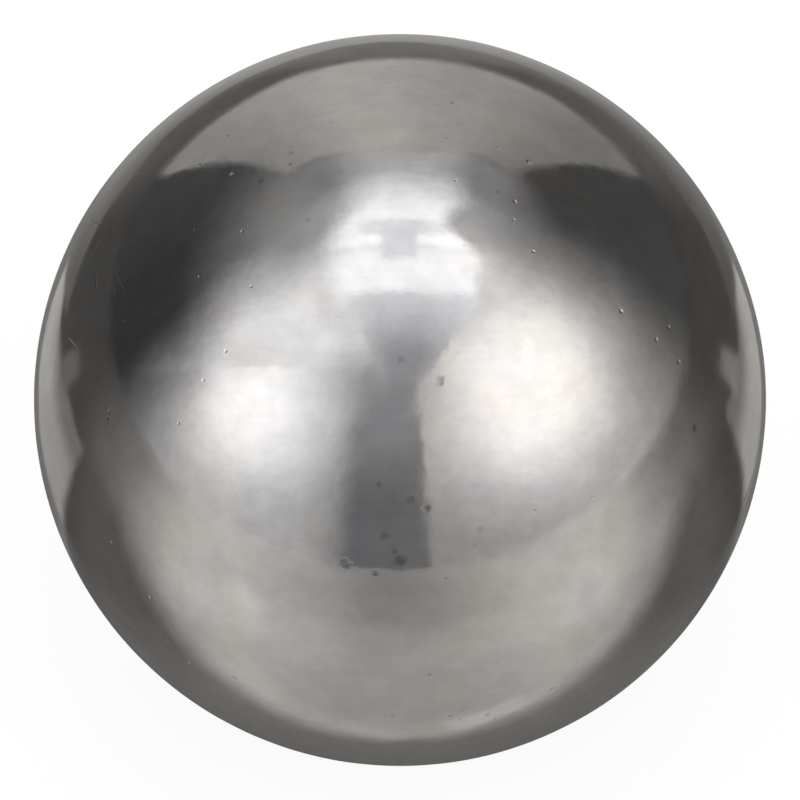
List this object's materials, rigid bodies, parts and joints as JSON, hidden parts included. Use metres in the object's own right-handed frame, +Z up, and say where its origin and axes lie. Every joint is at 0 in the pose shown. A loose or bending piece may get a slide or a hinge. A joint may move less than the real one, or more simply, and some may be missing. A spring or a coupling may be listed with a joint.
{
  "type": "steel ball",
  "caption": "Loose solid polished steel ball, one plain sphere that rolls, locates or seals against a seat.",
  "frame": {"origin": "centre of the ball", "axes": "+Z up, from the seat contact at the lowest point through the centre; -Y is the side that faces the viewer, where the larger pits lie, and +X is to the viewer's right"},
  "size_m": [0.0254, 0.0254, 0.0254],
  "materials": {
    "polished_steel": "ground and polished bare steel, slightly hazed, with fine pits, nicks and handling marks"
  },
  "bodies": {
    "root": {"ball": "polished_steel"}
  },
  "joints": []
}
